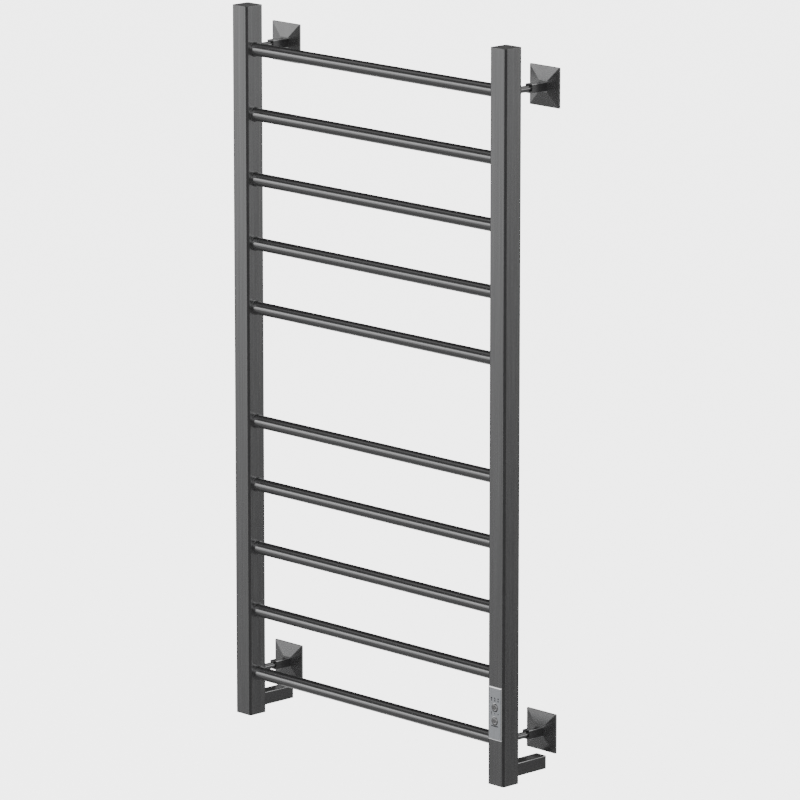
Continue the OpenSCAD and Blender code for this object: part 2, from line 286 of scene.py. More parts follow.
class Graph:
    """A node tree with short calls for adding and joining nodes."""

    def __init__(self, tree: bpy.types.NodeTree) -> None:
        """Starts with an empty tree."""
        self.tree = tree
        tree.nodes.clear()

    def add(self, kind: str, inputs: dict | None = None, **settings: object) -> bpy.types.Node:
        """Adds a node.

        Args:
            kind: node type's name, without its ShaderNode prefix.
            inputs: socket name or number to a value, or to an output socket that is joined to it.
            settings: properties of the node.

        Returns:
            The new node.
        """
        node = self.tree.nodes.new("ShaderNode" + kind)
        for name, value in settings.items():
            setattr(node, name, value)
        for key, value in (inputs or {}).items():
            if isinstance(value, bpy.types.NodeSocket):
                self.tree.links.new(value, node.inputs[key])
            else:
                node.inputs[key].default_value = value
        return node

    def maths(self, operation: str, first: object, second: object) -> bpy.types.NodeSocket:
        """Output of a Math node on two values or sockets."""
        return self.add("Math", {0: first, 1: second}, operation=operation).outputs[0]

    def swing(self, noise: bpy.types.NodeSocket, middle: float, reach: float,
              low: float = 0.25) -> bpy.types.NodeSocket:
        """A noise's range from low to 1 - low, spread from middle - reach to middle + reach."""
        ends = {1: low, 2: 1 - low, 3: middle - reach, 4: middle + reach}
        return self.add("MapRange", {0: noise, **ends}).outputs[0]


def new_group(name: str, inputs: dict[str, tuple[str, object]], output: str) -> Graph:
    """An empty shader group with named sockets.

    Args:
        name: group's name.
        inputs: socket name to its kind, Float or Vector, and its first value.
        output: name of its one number output.

    Returns:
        The group's graph.
    """
    tree = bpy.data.node_groups.new(name, "ShaderNodeTree")
    for socket_name, (kind, value) in inputs.items():
        socket = tree.interface.new_socket(socket_name, in_out="INPUT", socket_type="NodeSocket" + kind)
        socket.default_value = value
    tree.interface.new_socket(output, in_out="OUTPUT", socket_type="NodeSocketFloat")
    return Graph(tree)


def fine_lines_group() -> bpy.types.NodeTree:
    """Noise drawn out along one direction, as a brush or a belt leaves it."""
    sockets = {"Stretch": ("Vector", (1.0, 1.0, 1.0)), "Offset": ("Float", 0.0)}
    graph = new_group("fine_lines", sockets, "Value")
    entry = graph.tree.nodes.new("NodeGroupInput")
    place = graph.add("TexCoord")
    scaled = graph.add("VectorMath", {
        0: place.outputs["Object"], 1: entry.outputs["Stretch"],
    }, operation="MULTIPLY")
    noise = graph.add("TexNoise", {
        "Vector": scaled.outputs[0], "W": entry.outputs["Offset"],
        "Scale": 1.0, "Detail": 2.0, "Roughness": 0.6,
    }, noise_dimensions="4D")
    leave = graph.tree.nodes.new("NodeGroupOutput")
    graph.tree.links.new(noise.outputs[0], leave.inputs[0])
    return graph.tree


def painted_edge_light_group() -> bpy.types.NodeTree:
    """Mask of painted edge highlight or painted shade, from the stored edge share. Noise takes away as much
    of it as Broken says, so it isn't an even line.
    """
    graph = new_group("painted_edge_light", {"Amount": ("Float", 0.5), "Broken": ("Float", 0.65)}, "Mask")
    entry = graph.tree.nodes.new("NodeGroupInput")
    stored = graph.add("Attribute", attribute_name="edge")
    place = graph.add("TexCoord")
    noise = graph.add("TexNoise", {"Vector": place.outputs["Object"], "Scale": 90.0, "Detail": 3.0})
    missing = graph.add("MapRange", {0: noise.outputs[0], 1: 0.35, 2: 0.65, 3: 1.0, 4: 0.0})
    kept = graph.maths("SUBTRACT", 1.0, graph.maths("MULTIPLY", missing.outputs[0], entry.outputs["Broken"]))
    mask = graph.maths("MULTIPLY", stored.outputs["Fac"], kept)
    leave = graph.tree.nodes.new("NodeGroupOutput")
    graph.tree.links.new(graph.maths("MULTIPLY", mask, entry.outputs["Amount"]), leave.inputs[0])
    return graph.tree


GROUPS: dict[str, bpy.types.NodeTree] = {}


def group(name: str) -> bpy.types.NodeTree:
    """The shader group of that name, built the first time it is asked for."""
    makers = {"fine_lines": fine_lines_group, "painted_edge_light": painted_edge_light_group}
    if name not in GROUPS:
        GROUPS[name] = makers[name]()
    return GROUPS[name]


# ---- Finishes ----


@dataclass(frozen=True)
class Finish:
    """A surface finish. Pitches are in millimetres, and swings are shares of the value they change.

    Attributes:
        name: material's name.
        colour: linear red, green and blue.
        metallic: 0 for plastic and rubber, 1 for metal.
        roughness: middle roughness.
        grain: direction of its fine lines.
        line_pitch: width of the fine lines.
        line_colour: how far the lines change the colour.
        line_rough: how far the lines change the roughness.
        line_height: depth of the lines.
        band_pitch: width of the broad bands in the grain's direction.
        band_colour: how far the bands change the colour.
        speck_pitch: size of the moulded or sprayed texture.
        speck_height: depth of that texture.
        painted_edge_gain: how much painted highlight the edges get, or painted shade below 0.
        painted_edge_breakup: how much of that painted edge highlight or shade is missing in places.
        coat: clear coat's weight.
        specular: specular level of what isn't metal.
    """

    name: str
    colour: tuple[float, float, float]
    metallic: float = 0.0
    roughness: float = 0.45
    grain: Grain = Grain.EVEN
    line_pitch: float = 0.5
    line_colour: float = 0.05
    line_rough: float = 0.1
    line_height: float = 0.0
    band_pitch: float = 6.0
    band_colour: float = 0.05
    speck_pitch: float = 0.6
    speck_height: float = 0.004
    painted_edge_gain: float = 0.2
    painted_edge_breakup: float = 0.65
    coat: float = 0.0
    specular: float = 0.5

    def lines(self, graph: Graph, pitch: float, offset: float) -> bpy.types.NodeSocket:
        """Noise in the grain's direction, with features about pitch millimetres across."""
        stretch = tuple(s / (pitch * MM) for s in self.grain.value)
        node = graph.add("Group", {"Stretch": stretch, "Offset": offset}, node_tree=group("fine_lines"))
        return node.outputs["Value"]

    def tint(self, graph: Graph, fine: bpy.types.NodeSocket) -> bpy.types.NodeSocket:
        """The colour, which the fine lines, the broad bands and the painted edge highlight or painted shade
        change.
        """
        light = graph.swing(fine, 1.0, self.line_colour)
        wide = graph.swing(self.lines(graph, self.band_pitch, 7.0), 1.0, self.band_colour, 0.3)
        # Painted edge highlight, or painted shade where the gain is below 0.
        edge = graph.add("Group", {
            "Amount": self.painted_edge_gain, "Broken": self.painted_edge_breakup,
        }, node_tree=group("painted_edge_light"))
        gain = graph.maths("ADD", edge.outputs["Mask"], 1.0)
        level = graph.maths("MULTIPLY", graph.maths("MULTIPLY", light, wide), gain)
        return graph.add("VectorMath", {0: self.colour, "Scale": level}, operation="SCALE").outputs[0]

    def relief(self, graph: Graph, fine: bpy.types.NodeSocket) -> bpy.types.NodeSocket:
        """The normal, which the fine lines and the fine texture tilt."""
        place = graph.add("TexCoord")
        speck = graph.add("TexNoise", {
            "Vector": place.outputs["Object"], "Scale": 1 / (self.speck_pitch * MM), "Detail": 2.0,
        })
        height = graph.maths("ADD", graph.maths("MULTIPLY", fine, self.line_height * MM),
                             graph.maths("MULTIPLY", speck.outputs[0], self.speck_height * MM))
        return graph.add("Bump", {"Height": height, "Strength": 1.0, "Distance": 1.0}).outputs[0]

    def build(self) -> bpy.types.Material:
        """The finish as a material, made once."""
        if self.name in bpy.data.materials and bpy.data.materials[self.name].get("finish"):
            return bpy.data.materials[self.name]
        material = bpy.data.materials.new(self.name)
        material["finish"] = True
        material.use_nodes = True
        graph = Graph(material.node_tree)
        fine = self.lines(graph, self.line_pitch, 0.0)
        shader = graph.add("BsdfPrincipled", {
            "Base Color": self.tint(graph, fine), "Normal": self.relief(graph, fine),
            "Roughness": graph.swing(fine, self.roughness, self.roughness * self.line_rough),
            "Metallic": self.metallic, "Coat Weight": self.coat, "Coat Roughness": 0.2,
            "Specular IOR Level": self.specular,
        })
        graph.add("OutputMaterial", {"Surface": shader.outputs[0]})
        return material


GUNMETAL = (0.30, 0.30, 0.303)
COATED = 0.96
# Posts and caps: the negative painted edge gain paints shade along their round corners.
COAT_UPRIGHT = Finish(
    "coat_upright", GUNMETAL, COATED, 0.22, Grain.UPRIGHT, line_pitch=0.45, line_colour=0.07,
    line_rough=0.14, line_height=0.002, band_pitch=3.4, band_colour=0.1, speck_height=0.0015,
    painted_edge_gain=-0.66, painted_edge_breakup=0.1,
)
# Rungs: the negative painted edge gain paints shade round the weld fillets where they meet the posts.
COAT_LEVEL = Finish(
    "coat_level", GUNMETAL, COATED, 0.2, Grain.LEVEL, line_pitch=0.45, line_colour=0.04,
    line_rough=0.12, line_height=0.002, band_pitch=3.2, band_colour=0.05, speck_height=0.0015,
    painted_edge_gain=-0.72, painted_edge_breakup=0.2,
)
# Cover plates: the small positive painted edge gain paints highlight on their rim, ridges and the hole's
# rim.
COAT_CAST = Finish(
    "coat_cast", GUNMETAL, COATED, 0.26, Grain.EVEN, line_pitch=0.8, line_colour=0.03,
    band_pitch=9.0, band_colour=0.05, speck_height=0.003,
)
COAT_DEEP = Finish(
    "coat_deep", (0.24, 0.24, 0.242), COATED, 0.22, Grain.DEEP, line_pitch=0.45, line_colour=0.05,
    line_height=0.002, band_pitch=3.2, band_colour=0.05, speck_height=0.0015,
)
# Outlets: the painted edge gain paints a bright highlight along their long edges and round their end.
COAT_OUTLET = replace(COAT_DEEP, name="coat_outlet", painted_edge_gain=2.2, painted_edge_breakup=0.3)
# Necks: the painted edge gain paints a bright highlight along their long edges, and their colour is darker
# than the rest of the coat as painted shade.
COAT_NECK = replace(COAT_DEEP, name="coat_neck", colour=(0.2, 0.2, 0.202), painted_edge_gain=3.6, painted_edge_breakup=0.3)
ROD_STEEL = Finish(
    "rod_steel", (0.21, 0.21, 0.212), 1.0, 0.16, Grain.TURNED, line_pitch=0.25, line_colour=0.06,
    line_height=0.003, band_colour=0.03, speck_height=0.0,
)
# The plastic and rubber finishes' positive painted edge gains paint highlight on the round edges of the made
# pieces.
BLACK_PLASTIC = Finish("black_plastic", (0.018, 0.018, 0.019), 0.0, 0.5, speck_height=0.012, painted_edge_gain=0.6)
BEZEL_PLASTIC = Finish(
    "bezel_satin", (0.85, 0.85, 0.86), 1.0, 0.16, Grain.UPRIGHT, line_pitch=0.3, speck_height=0.001,
    painted_edge_gain=0.3,
)
RUBBER = Finish(
    "soft_rubber", (0.014, 0.014, 0.015), 0.0, 0.72, speck_height=0.01, painted_edge_gain=0.5, specular=0.35,
)
FASCIA = Finish(
    "fascia_brushed", (0.575, 0.595, 0.625), 0.8, 0.4, Grain.UPRIGHT, line_pitch=0.14, line_colour=0.1,
    line_rough=0.15, line_height=0.001, band_pitch=2.4, band_colour=0.05, speck_pitch=0.25,
    speck_height=0.002,
)
BUTTON = Finish(
    "button_satin", (0.6, 0.6, 0.61), 1.0, 0.24, Grain.EVEN, line_pitch=0.2, line_colour=0.03,
    speck_height=0.0008, painted_edge_gain=0.35,
)
# Printed marks, and also the dark ring round each button, which is painted shade of the gap there.
INK_AND_GAP_SHADE = Finish(
    "printed_ink_and_gap_shade", (0.012, 0.012, 0.013), 0.0, 0.6, speck_height=0.002, painted_edge_gain=0.0, specular=0.2,
)
CABLE = Finish("silicone_jacket", (0.32, 0.035, 0.025), 0.0, 0.55, line_pitch=1.2, speck_height=0.01)
BOARD = Finish(
    "board_mask", (0.008, 0.09, 0.03), 0.0, 0.35, Grain.UPRIGHT, line_pitch=1.1, line_colour=0.35,
)
RELAY = Finish("relay_case", (0.015, 0.05, 0.2), 0.0, 0.42, speck_height=0.008, painted_edge_gain=0.5)
TERMINAL = Finish("terminal_nylon", (0.58, 0.58, 0.54), 0.0, 0.48, speck_height=0.008, painted_edge_gain=0.1)
LIGHT_GUIDE = Finish("light_guide", (0.022, 0.023, 0.025), 0.0, 0.12, speck_height=0.0, coat=0.6)
ZINC = Finish(
    "zinc_plate", (0.56, 0.55, 0.5), 1.0, 0.34, Grain.TURNED, line_pitch=0.3, line_colour=0.08,
    line_height=0.002,
)
BLACK_STEEL = Finish("black_oxide", (0.05, 0.05, 0.052), 1.0, 0.38, line_pitch=0.4, speck_height=0.003)


# ---- Making objects ----


def mark_rims(mesh: bpy.types.Mesh) -> None:
    """Makes every edge with only one face sharp, so that a wall given to the mesh gets crisp rims."""
    sides = np.empty(len(mesh.loops), np.int32)
    mesh.loops.foreach_get("edge_index", sides)
    rim = np.bincount(sides, minlength=len(mesh.edges)) == 1
    sharp = mesh.attributes.get("sharp_edge") or mesh.attributes.new("sharp_edge", "BOOLEAN", "EDGE")
    marked = np.empty(len(mesh.edges), bool)
    sharp.data.foreach_get("value", marked)
    sharp.data.foreach_set("value", marked | rim)


def make_piece(name: str, shape: Shape, finish: Finish, node: str, replaces: bool = True,
               crease: float = 28.0, wall: float = 0.0) -> None:
    """Turns a shape into a finished object that rides with a CAD node's body.

    Args:
        name: object's name.
        shape: closed or open surface in millimetres, in the part's own frame.
        finish: its material.
        node: CAD node whose body it rides on.
        replaces: whether it stands for that node.
        crease: angle in degrees past which an edge stays sharp.
        wall: thickness given inwards to an open surface, in millimetres.
    """
    mesh = bpy.data.meshes.new(name)
    mesh.from_pydata((shape.points * MM).tolist(), [], shape.faces)
    # The stored edge share sets where the finish paints its edge highlight or edge shade.
    stored = mesh.attributes.new("edge", "FLOAT", "POINT")
    stored.data.foreach_set("value", shape.edge.astype(np.float32))
    work = bmesh.new()
    work.from_mesh(mesh)
    bmesh.ops.remove_doubles(work, verts=work.verts, dist=1e-7)
    bmesh.ops.recalc_face_normals(work, faces=work.faces)
    work.to_mesh(mesh)
    work.free()
    mesh.shade_smooth()
    mesh.set_sharp_from_angle(angle=np.radians(crease))
    mark_rims(mesh)
    mesh.materials.append(finish.build())
    piece = bpy.data.objects.new(name, mesh)
    bpy.context.scene.collection.objects.link(piece)
    if wall:
        shell = piece.modifiers.new("wall", "SOLIDIFY")
        shell.thickness = wall * MM
        shell.offset = -1.0
        shell.use_even_offset = True
    flat = piece.modifiers.new("flat_faces", "WEIGHTED_NORMAL")
    flat.keep_sharp = True
    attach(piece, frame["nodes"][node]["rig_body"])
    if replaces:
        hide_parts(node)
    LOG.info("%s: %d points, %d faces, %s", name, len(mesh.vertices), len(mesh.polygons), finish.name)


def dress(node: str, finish: Finish) -> None:
    """Gives a CAD node that is carried over its finish."""
    holder = frame["nodes"][node]
    holder.data.materials.clear()
    holder.data.materials.append(finish.build())
    LOG.info("%s: carried over, %s", node, finish.name)


# ---- The posts ----


@dataclass(frozen=True)
class Hole:
    """A hole in one flat face of a post.

    Attributes:
        face: 0 for the +x face, 1 for +y, 2 for -x and 3 for -y.
        level: height of its centre.
        width: size across the face.
        height: size up the post.
        diameter: of the round hole inside that block, or 0 to leave the whole block open.
    """

    face: int
    level: float
    width: float
    height: float
    diameter: float = 0.0

    def bore(self, rim: Array, base: Array, count: int) -> tuple[Array, list[list[int]]]:
        """Two rings of quads from the block's rim in to the round hole.

        A point of a ring lies on the line from the rim towards the hole's centre, halfway to the
        circle or on it.

        Args:
            rim: numbers of the rim's points, in order round it.
            base: where those points are.
            count: how many points were made before these.

        Returns:
            The new points and the quads.
        """
        middle = base.mean(axis=0) * (1, 1, 0) + (0, 0, self.level)
        towards = base - middle
        circle_rim = middle + towards / np.linalg.norm(towards, axis=1)[:, None] * self.diameter / 2
        points, quads, before = [], [], rim
        for share in (0.5, 1.0):
            after = count + len(points) * len(rim) + np.arange(len(rim))
            points.append(base + (circle_rim - base) * share)
            quads += np.stack([before, np.roll(before, -1), np.roll(after, -1), after], axis=-1).tolist()
            before = after
        return np.vstack(points), quads


@dataclass
class Post:
    """One upright: a square tube with round long edges and a hole for all that enters it.

    Attributes:
        side: left or right.
        wall: thickness of the tube.
        radius: outside radius of its long edges.
        cells: grid cells along each side of the block round a hole.
        block: side of the block of cells round a rung's hole, and height of a rod's.
        rod_block: width of the block round a rod's hole.
        rod_hole: diameter of the hole for a rod's insert.
        slack: gap all round what enters the tube.
        window_margin: how far the panel's window stops short of the housing's ends.
        cap_lip: size of a cap's broken edge.
        skirt_radius: corner radius of a cap's skirt.
    """

    side: str
    wall: float = 1.5
    radius: float = 3.0
    cells: int = 8
    block: float = 20.0
    rod_block: float = 15.0
    rod_hole: float = 11.1
    slack: float = 0.1
    window_margin: float = 1.2
    cap_lip: float = 0.3
    skirt_radius: float = 1.7
    node: str = field(init=False)
    low: Array = field(init=False)
    high: Array = field(init=False)

    def __post_init__(self) -> None:
        """Takes the post's place from the frame."""
        self.node = f"{self.side}_post"
        self.low, self.high = box_mm(self.node)

    def holes(self) -> list[Hole]:
        """Rung holes in the inner face, rod and outlet holes behind, and the panel's window in front."""
        inner = 0 if self.side == "left" else 2
        made = []
        for i in range(1, 11):
            low, high = box_mm(f"rung_{i:02d}")
            bore = high[2] - low[2] + self.slack
            made.append(Hole(inner, (low[2] + high[2]) / 2, self.block, self.block, bore))
        for end in ("top", "bottom"):
            low, high = box_mm(f"bracket_neck_{end}_{self.side}")
            made.append(Hole(1, (low[2] + high[2]) / 2, self.rod_block, self.block, self.rod_hole))
        low, high = box_mm(f"outlet_{self.side}")
        made.append(Hole(1, (low[2] + high[2]) / 2, high[0] - low[0], high[2] - low[2]))
        if self.side == "right":
            low, high = box_mm("control_housing")
            height = high[2] - low[2] - 2 * self.window_margin
            made.append(Hole(3, (low[2] + high[2]) / 2, high[0] - low[0], height))
        return made

    def columns(self, face: int, holes: list[Hole]) -> Array:
        """Places of the grid's columns across one face, with the hole blocks' own columns among them."""
        half = (self.high[0] - self.low[0]) / 2 - self.radius
        places = [-half, half]
        for hole in holes:
            if hole.face == face:
                count = self.cells + 1 if hole.diameter else 2
                places += np.linspace(-hole.width / 2, hole.width / 2, count).tolist()
        return np.unique(np.round(places, 4))

    def rows(self, holes: list[Hole]) -> Array:
        """Heights of the grid's rows, from one end of the tube to the other."""
        places = [self.low[2], self.high[2]]
        for hole in holes:
            count = self.cells + 1 if hole.diameter else 2
            places += (hole.level + np.linspace(-hole.height / 2, hole.height / 2, count)).tolist()
        return np.unique(np.round(places, 4))

    def outline(self, holes: list[Hole]) -> tuple[Array, list[int], list[Array]]:
        """The grid's columns, all round the square with its round corners.

        Args:
            holes: all the post's holes.

        Returns:
            Rows of (x, y, edge) about the post's axis, the number of each face's first column, and
            the places of each face's columns.
        """
        half = (self.high[0] - self.low[0]) / 2
        corner = half - self.radius
        turn = np.linspace(0.0, np.pi / 2, ARC + 1)[1:-1]
        # The bend's third column is its share of painted shade, spread wide by the 0.4 power.
        bend = np.column_stack([
            corner + self.radius * np.cos(turn), corner + self.radius * np.sin(turn),
            np.sin(2 * turn) ** 0.4,
        ])
        parts, starts, places = [], [], []
        for face in range(4):
            columns = self.columns(face, holes)
            flat = np.column_stack([np.full(len(columns), half), columns, np.zeros(len(columns))])
            stretch = np.vstack([flat, bend])
            c, s = np.cos(face * np.pi / 2), np.sin(face * np.pi / 2)
            starts.append(sum(len(part) for part in parts))
            places.append(columns)
            parts.append(np.column_stack([
                c * stretch[:, 0] - s * stretch[:, 1], s * stretch[:, 0] + c * stretch[:, 1], stretch[:, 2],
            ]))
        return np.vstack(parts), starts, places

    def skin(self) -> Shape:
        """Outer surface of the tube.

        The grid's columns go round the square and its rows go up. The cells of each hole's block are
        left out, and a round hole gets rings of quads inside its block.

        Returns:
            An open surface whose holes and ends are rims.
        """
        holes = self.holes()
        around, starts, places = self.outline(holes)
        levels = self.rows(holes)
        rows, cols = len(levels), len(around)
        grid = np.column_stack([np.tile(around[:, :2], (rows, 1)), np.repeat(levels, cols)])
        quads = grid_faces(rows, cols, False)
        keep = np.ones(len(quads), bool)
        points, rings = grid, []
        for hole in holes:
            columns = places[hole.face]
            j0, j1 = (starts[hole.face] + int(np.argmin(abs(columns - side * hole.width / 2)))
                      for side in (-1, 1))
            i0, i1 = (int(np.argmin(abs(levels - hole.level - end * hole.height / 2))) for end in (-1, 1))
            i, j = np.meshgrid(np.arange(i0, i1), np.arange(j0, j1), indexing="ij")
            keep[(i * cols + j).ravel()] = False
            if hole.diameter:
                rim = np.concatenate([
                    i0 * cols + np.arange(j0, j1), np.arange(i0, i1) * cols + j1,
                    i1 * cols + np.arange(j1, j0, -1), np.arange(i1, i0, -1) * cols + j0,
                ])
                made, bored = hole.bore(rim, grid[rim], len(points))
                points = np.vstack([points, made])
                rings += bored
        edge = np.zeros(len(points))
        edge[:len(grid)] = np.tile(around[:, 2], rows)
        centre = ((self.low[0] + self.high[0]) / 2, (self.low[1] + self.high[1]) / 2, 0.0)
        return Shape(points + centre, quads[keep].tolist() + rings, edge)

    def build(self) -> None:
        """Makes the tube and the caps at both of its ends."""
        make_piece(f"{self.node}_tube", self.skin(), COAT_UPRIGHT, self.node, wall=self.wall)
        for end in ("top", "bottom"):
            self.cap(end)

    def cap(self, end: str) -> None:
        """Closing plate with a softly broken outer edge and a skirt inside the tube."""
        node = f"{end}_cap_{self.side}"
        low, high = box_mm(node)
        width = high[0] - low[0]
        outside, inside = (high[2], self.high[2]) if end == "top" else (low[2], self.low[2])
        away = np.sign(outside - inside)
        lip = self.cap_lip
        skirt = width - 2 * self.wall - 2 * self.slack
        skirt_loop = ring(skirt, skirt, self.skirt_radius)
        centre = ((low[0] + high[0]) / 2, (low[1] + high[1]) / 2, 0.0)
        depth = low[2] if end == "top" else high[2]
        sections = [
            Section(skirt_loop, depth), Section(skirt_loop, inside),
            Section(ring(width, width, self.radius), inside),
            *soft_edge(width, width, self.radius, outside - away * lip, outside, lip),
            Section(ring(width - 3, width - 3, self.radius - 1) * (1, 1, 0), outside),
        ]
        # The 0.2 power widens the painted shade round the plate's corners.
        sections = [
            Section(np.column_stack([s.loop[:, :2], s.loop[:, 2] ** 0.2]), s.level) for s in sections
        ]
        make_piece(f"{node}_plate", loft(sections, Along.Z, centre), COAT_UPRIGHT, node)


@dataclass
class Rung:
    """A round tube between the posts, with a small fillet of weld where it meets each one; the fillets carry
    painted shade.

    Attributes:
        number: counted from the top.
        wall: thickness of the tube.
        fillet: radius of the weld's hollow.
    """

    number: int
    wall: float = 1.2
    fillet: float = 1.5

    def build(self) -> None:
        """Turns the tube: straight, flared at both posts on a quarter circle, and hollow."""
        node = f"rung_{self.number:02d}"
        low, high = box_mm(node)
        outside = high[2] - low[2]
        face = box_mm("right_post")[0][0]
        turn = np.linspace(np.pi, 1.5 * np.pi, 7)
        # The weld's sections get the full edge share (the 1.0 below), which paints shade round each joint
        # with a post.
        weld = [
            (face - self.fillet * (1 + np.cos(t)), outside + 2 * self.fillet * (1 + np.sin(t))) for t in turn
        ]
        weld = [*weld[::-1], (face + 0.4, outside + 2 * self.fillet)]
        end = [(face + 0.6, outside), (high[0], outside)]
        reach = face - self.fillet - 0.3
        steps = [(float(x), outside) for x in np.linspace(-reach, reach, 26)]
        inside = outside - 2 * self.wall
        outer = [
            *turned([(-level, diameter) for level, diameter in end[::-1]]),
            *turned([(-level, diameter) for level, diameter in weld[::-1]], 1.0), *turned(steps),
            *turned(weld, 1.0), *turned(end),
        ]
        inner = turned([(high[0], inside), (low[0], inside)])
        centre = (0.0, (low[1] + high[1]) / 2, (low[2] + high[2]) / 2)
        make_piece(f"{node}_tube", tube(outer, inner, Along.X, centre), COAT_LEVEL, node, crease=40.0)


# ---- The wall brackets ----


@dataclass
class WallBracket:
    """One bracket: the neck is the frame's own, and the rod and the cover plate are made here.

    Attributes:
        corner: which of the four it is.
        sheet: thickness of the cover plate.
        rim: height of the cover plate's straight side.
        corner_radius: of the cover plate's outline.
        lip: size of the broken edge between its side and its slopes.
        hole: width of its square hole.
        hole_radius: of that hole's corners.
        land: width of the flat ring round that hole.
        neck: width of the square neck.
        neck_radius: of the neck's long edges.
        thread: outside diameter of the rod's thread.
        ridge: depth of the thread, and half its pitch.
    """

    corner: str
    sheet: float = 1.2
    rim: float = 2.5
    corner_radius: float = 0.9
    lip: float = 0.35
    hole: float = 12.7
    hole_radius: float = 0.9
    land: float = 1.3
    neck: float = 12.4
    neck_radius: float = 0.8
    thread: float = 5.9
    ridge: float = 0.5

    def build(self) -> None:
        """Makes the pieces and dresses those carried over."""
        self.cover()
        self.rod()
        self.mark_neck()
        dress(f"bracket_neck_{self.corner}", COAT_NECK)
        dress(f"grip_ring_{self.corner}", RUBBER)

    def cover(self) -> None:
        """Pyramid cover plate: out along its rim, up the four slopes to the neck, and back inside."""
        node = f"rosette_{self.corner}"
        low, high = box_mm(node)
        neck_low, neck_high = box_mm(f"bracket_neck_{self.corner}")
        width, front = high[0] - low[0], low[1]
        flat = self.hole + 2 * self.land
        foot, foot_level = width - 2 * self.lip, -self.rim - self.lip * 0.4
        slope = []
        for t in np.linspace(0.0, 1.0, 7)[1:]:
            side = foot + t * (flat - foot)
            radius = self.corner_radius * (1 - t) + 0.25 * t
            slope.append(Section(ring(side, side, radius), foot_level + t * (front - foot_level)))
        inside = width - 2 * self.sheet
        hole_loop = ring(self.hole, self.hole, self.hole_radius)
        inside_loop = ring(inside, inside, self.corner_radius)
        # The hole's rim gets 0.6 of the edge share, a painted highlight round the neck.
        outer = [
            Section(ring(width, width, self.corner_radius), 0.0),
            *soft_edge(width, width, self.corner_radius, self.lip - self.rim, foot_level, self.lip),
            *slope, Section(hole_loop, front, 0.6),
        ]
        inner = [
            Section(hole_loop, front + self.sheet), Section(inside_loop, self.sheet - self.rim),
            Section(inside_loop, 0.0),
        ]
        centre = depth_line(neck_low, neck_high)
        make_piece(f"{node}_cover", tube(outer, inner, Along.Y, centre), COAT_CAST, node, crease=4.0)

    def mark_neck(self) -> None:
        """Stores on the frame's neck how far each of its points lies round a long edge, where its painted
        highlight goes.

        With t the point's angle about the edge's own axis, its share is sin(2t), and 0 off the edges.
        """
        node = f"bracket_neck_{self.corner}"
        mesh = frame["nodes"][node].data
        low, high = box_mm(node)
        points = np.empty(len(mesh.vertices) * 3, np.float32)
        mesh.vertices.foreach_get("co", points)
        across = points.reshape(-1, 3)[:, [0, 2]] / MM - ((low + high) / 2)[[0, 2]]
        out = np.abs(across) - (self.neck / 2 - self.neck_radius)
        on_edge = (out > 0).all(axis=1) & (np.hypot(out[:, 0], out[:, 1]) < self.neck_radius + 0.05)
        share = np.where(on_edge, np.sin(2 * np.arctan2(out[:, 1], out[:, 0])), 0.0)
        stored = mesh.attributes.new("edge", "FLOAT", "POINT")
        stored.data.foreach_set("value", share.astype(np.float32))

    def rod(self) -> None:
        """Turned rod: a thread that enters the post, a shoulder, a long shank and a chamfered end."""
        node = f"bracket_rod_{self.corner}"
        low, high = box_mm(node)
        diameter = high[0] - low[0]
        face = box_mm("rod_inserts")[1][1]
        count = int((face - low[1] - 1) / self.ridge)
        ridges = [(low[1] + 0.6 + self.ridge * k, self.thread - self.ridge * (k % 2)) for k in range(count)]
        sections = turned([
            (low[1], self.thread - 1.0), *ridges, (face, self.thread),
            (face, diameter - 0.6), (face + 0.3, diameter),
            *[(float(y), diameter) for y in np.linspace(face + 4, high[1] - 4, 8)],
            (high[1] - 0.7, diameter), (high[1], diameter - 1.4),
        ])
        centre = depth_line(low, high)
        make_piece(f"{node}_bar", loft(sections, Along.Y, centre), ROD_STEEL, node)


# ---- The cable outlets ----


